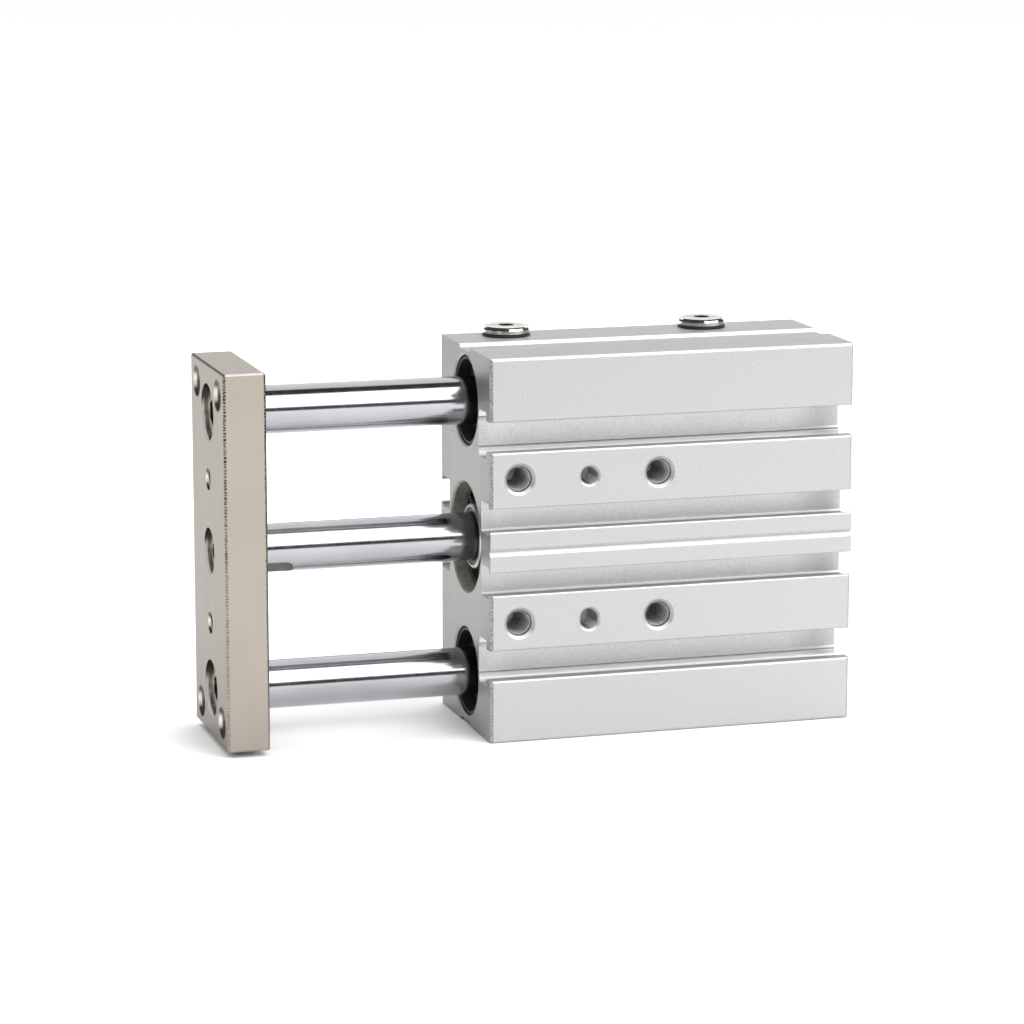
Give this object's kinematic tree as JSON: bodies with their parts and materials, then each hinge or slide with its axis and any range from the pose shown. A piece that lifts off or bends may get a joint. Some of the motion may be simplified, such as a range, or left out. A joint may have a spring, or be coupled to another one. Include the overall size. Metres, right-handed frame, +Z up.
{
  "type": "guided pneumatic cylinder",
  "caption": "Compact guided pneumatic cylinder: extruded body with T-slots, one piston rod between two guide rods on ball bushings, and a front plate joining the rods.",
  "frame": {"origin": "middle of the whole cylinder's footprint, on the surface that the body stands on", "axes": "+Z up across the body's height, +X from the front plate to the rear of the body, -Y the T-slot face"},
  "size_m": [0.1064, 0.03, 0.0658],
  "materials": {
    "anodised_body": "sand-blasted, clear anodised",
    "plated_steel_plate": "nickel plated steel, fine ground",
    "hard_chrome_rod": "hard chrome, polished",
    "plated_bolt": "nickel plated",
    "plated_plug": "nickel plated, satin",
    "black_rubber": "matt black nitrile rubber",
    "bumper_rubber": "dark urethane",
    "cover_aluminium": "turned aluminium alloy",
    "spring_steel": "phosphate coated spring steel",
    "bearing_steel": "ground bearing steel",
    "cage_resin": "moulded resin",
    "magnet_black": "bonded magnet"
  },
  "bodies": {
    "cylinder_body": {"body_housing": "anodised_body", "rod_cover": "cover_aluminium", "rod_cover_gasket": "black_rubber", "rod_cover_retaining_ring": "spring_steel", "rod_seal": "black_rubber", "front_bumper": "bumper_rubber", "rear_bumper": "bumper_rubber", "head_cover": "cover_aluminium", "head_cover_gasket": "black_rubber", "head_cover_retaining_ring": "spring_steel", "port_plug_front": "plated_plug", "plug_gasket_front": "black_rubber", "port_plug_rear": "plated_plug", "plug_gasket_rear": "black_rubber", "guide_wiper_upper": "black_rubber", "bushing_sleeve_upper": "bearing_steel", "ball_cage_upper": "cage_resin", "bushing_balls_upper": "bearing_steel", "bushing_seals_upper": "black_rubber", "bushing_ring_upper": "spring_steel", "guide_wiper_lower": "black_rubber", "bushing_sleeve_lower": "bearing_steel", "ball_cage_lower": "cage_resin", "bushing_balls_lower": "bearing_steel", "bushing_seals_lower": "black_rubber", "bushing_ring_lower": "spring_steel"},
    "rod_and_plate": {"front_plate": "plated_steel_plate", "piston_rod": "hard_chrome_rod", "piston": "cover_aluminium", "piston_seal": "black_rubber", "piston_magnet": "magnet_black", "piston_rod_bolt": "plated_bolt", "guide_rod_bolts": "plated_bolt", "guide_rod_upper": "hard_chrome_rod", "guide_rod_lower": "hard_chrome_rod"}
  },
  "joints": [
    {"name": "rod_slide", "type": "slide", "parent": "cylinder_body", "child": "rod_and_plate", "axis": [1, 0, 0], "range_m": [0, 0.03]}
  ]
}
